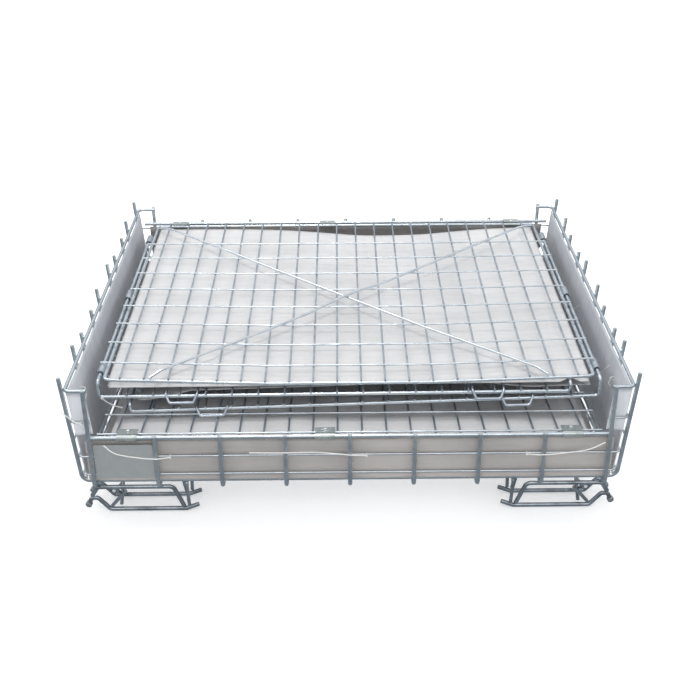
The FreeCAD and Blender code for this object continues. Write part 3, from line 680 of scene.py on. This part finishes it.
def make_floor():
    data = bmesh.new()
    bmesh.ops.create_grid(data, x_segments=1, y_segments=1, size=FLOOR_REACH)
    mesh = bpy.data.meshes.new("studio_floor")
    data.to_mesh(mesh)
    data.free()
    material, tree, shader = new_material("studio_floor")
    clouds = noise_at(tree, placed(tree, (1.0, 1.0, 1.0)), 0.8, 3.0)
    colour = ramp(tree, clouds, [(0.3, (0.94, 0.94, 0.94)), (0.7, (0.96, 0.96, 0.96))])
    tree.links.new(colour, shader.inputs["Base Color"])
    tree.links.new(colour, shader.inputs["Emission Color"])
    shader.inputs["Emission Strength"].default_value = FLOOR_GLOW
    shader.inputs["Roughness"].default_value = 0.9
    shader.inputs["Specular IOR Level"].default_value = 0.1
    mesh.materials.append(material)
    floor = bpy.data.objects.new("studio_floor", mesh)
    bpy.context.scene.collection.objects.link(floor)
    return floor


def make_grey_card(floor):
    """A grey card just under the floor, which reflections see in its place: the wires get darker sides."""
    floor.visible_glossy = False
    mesh = floor.data.copy()
    mesh.name = "grey_card"
    material, tree, shader = new_material("grey_card")
    clouds = noise_at(tree, placed(tree, (1.0, 1.0, 1.0)), 2.5, 3.0)
    colour = ramp(tree, clouds, [(0.3, (0.34, 0.37, 0.40)), (0.7, (0.46, 0.49, 0.52))])
    tree.links.new(colour, shader.inputs["Base Color"])
    shader.inputs["Roughness"].default_value = 0.9
    mesh.materials.clear()
    mesh.materials.append(material)
    card = bpy.data.objects.new("grey_card", mesh)
    card.location.z = -1.0 * MM
    card.visible_camera = False
    card.visible_diffuse = False
    card.visible_transmission = False
    card.visible_shadow = False
    bpy.context.scene.collection.objects.link(card)


WHITE = (1.0, 1.0, 1.0)
WARM_WHITE = (1.0, 0.99, 0.97)
COOL_WHITE = (0.98, 0.99, 1.0)


def area_light(name, place, target, size, power, colour):
    light = bpy.data.lights.new(name, "AREA")
    light.shape = "RECTANGLE"
    light.size = size[0]
    light.size_y = size[1]
    light.energy = power
    light.color = colour
    lamp = bpy.data.objects.new(name, light)
    lamp.location = place
    lamp.rotation_mode = "QUATERNION"
    lamp.rotation_quaternion = (Vector(target) - Vector(place)).to_track_quat("-Z", "Y")
    bpy.context.scene.collection.objects.link(lamp)
    return lamp


def make_lights():
    area_light("key_overhead", (-0.3, 0.3, 4.2), (0.0, 0.0, 0.2), (0.55, 0.55), 34.0, WHITE)
    area_light("soft_front", (0.2, -3.2, 3.4), (0.0, -0.4, 0.2), (3.6, 1.6), 15.0, WARM_WHITE)
    for name, side in (("fill_left_wall", -1.0), ("fill_right_wall", 1.0)):
        place = (-1.2 * side, 1.5, 1.2)
        lamp = area_light(name, place, (0.6 * side, 0.4, 0.25), (0.9, 0.9), 8.0, COOL_WHITE)
        lamp.visible_glossy = False
    glint = area_light("glint_left", (-2.0, 1.3, 3.6), (0.0, 0.0, 0.3), (1.4, 1.4), 24.0, WHITE)
    glint.visible_diffuse = False


BACKDROP = (0.93, 0.94, 0.95, 1.0)


def make_world():
    """Lights the zinc brightly from overhead and darkly from the sides; looks plain and pale itself."""
    world = bpy.data.worlds.new("studio")
    bpy.context.scene.world = world
    world.use_nodes = True
    tree = world.node_tree
    background = tree.nodes["Background"]
    coordinates = add(tree, "ShaderNodeTexCoord")
    split = add(tree, "ShaderNodeSeparateXYZ")
    tree.links.new(coordinates.outputs["Generated"], split.inputs["Vector"])
    sky = ramp(tree, split.outputs["Z"], [
        (0.0, (0.20, 0.22, 0.24)),
        (0.14, (0.14, 0.17, 0.19)),
        (0.34, (0.70, 0.73, 0.76)),
        (0.80, (0.80, 0.815, 0.83)),
    ])
    ray = add(tree, "ShaderNodeLightPath")
    seen = add(tree, "ShaderNodeMix", data_type="RGBA")
    seen.inputs[7].default_value = BACKDROP
    tree.links.new(ray.outputs["Is Camera Ray"], seen.inputs["Factor"])
    tree.links.new(sky, seen.inputs[6])
    tree.links.new(seen.outputs[2], background.inputs["Color"])
    background.inputs["Strength"].default_value = 1.0


CAMERA_PLACE = (-0.01861, -2.64846, 1.53293)
CAMERA_PITCH = 29.804          # degrees down
CAMERA_YAW = 0.517
CAMERA_ROLL = -0.255


def make_camera():
    """Stands in front, a little left of the middle, looking down on the folded container."""
    data = bpy.data.cameras.new("camera")
    data.sensor_width = 36.0
    data.lens = 58.872
    data.shift_y = 0.06
    data.clip_start = 0.05
    data.clip_end = 100.0
    camera = bpy.data.objects.new("camera", data)
    pitch = math.radians(CAMERA_PITCH)
    yaw = math.radians(CAMERA_YAW)
    roll = math.radians(CAMERA_ROLL)
    forward = Vector((math.sin(yaw) * math.cos(pitch), math.cos(yaw) * math.cos(pitch), -math.sin(pitch)))
    level_right = Vector((math.cos(yaw), -math.sin(yaw), 0.0))
    level_up = level_right.cross(forward)
    right = level_right * math.cos(roll) + level_up * math.sin(roll)
    up = level_up * math.cos(roll) - level_right * math.sin(roll)
    turn = Matrix((right, up, -forward)).transposed()
    camera.matrix_world = Matrix.Translation(CAMERA_PLACE) @ turn.to_4x4()
    bpy.context.scene.collection.objects.link(camera)
    bpy.context.scene.camera = camera


make_camera()
make_world()
make_lights()
make_grey_card(make_floor())
dress_frame()
make_liners()
make_cable_ties()
bpy.context.scene.view_settings.view_transform = "Standard"
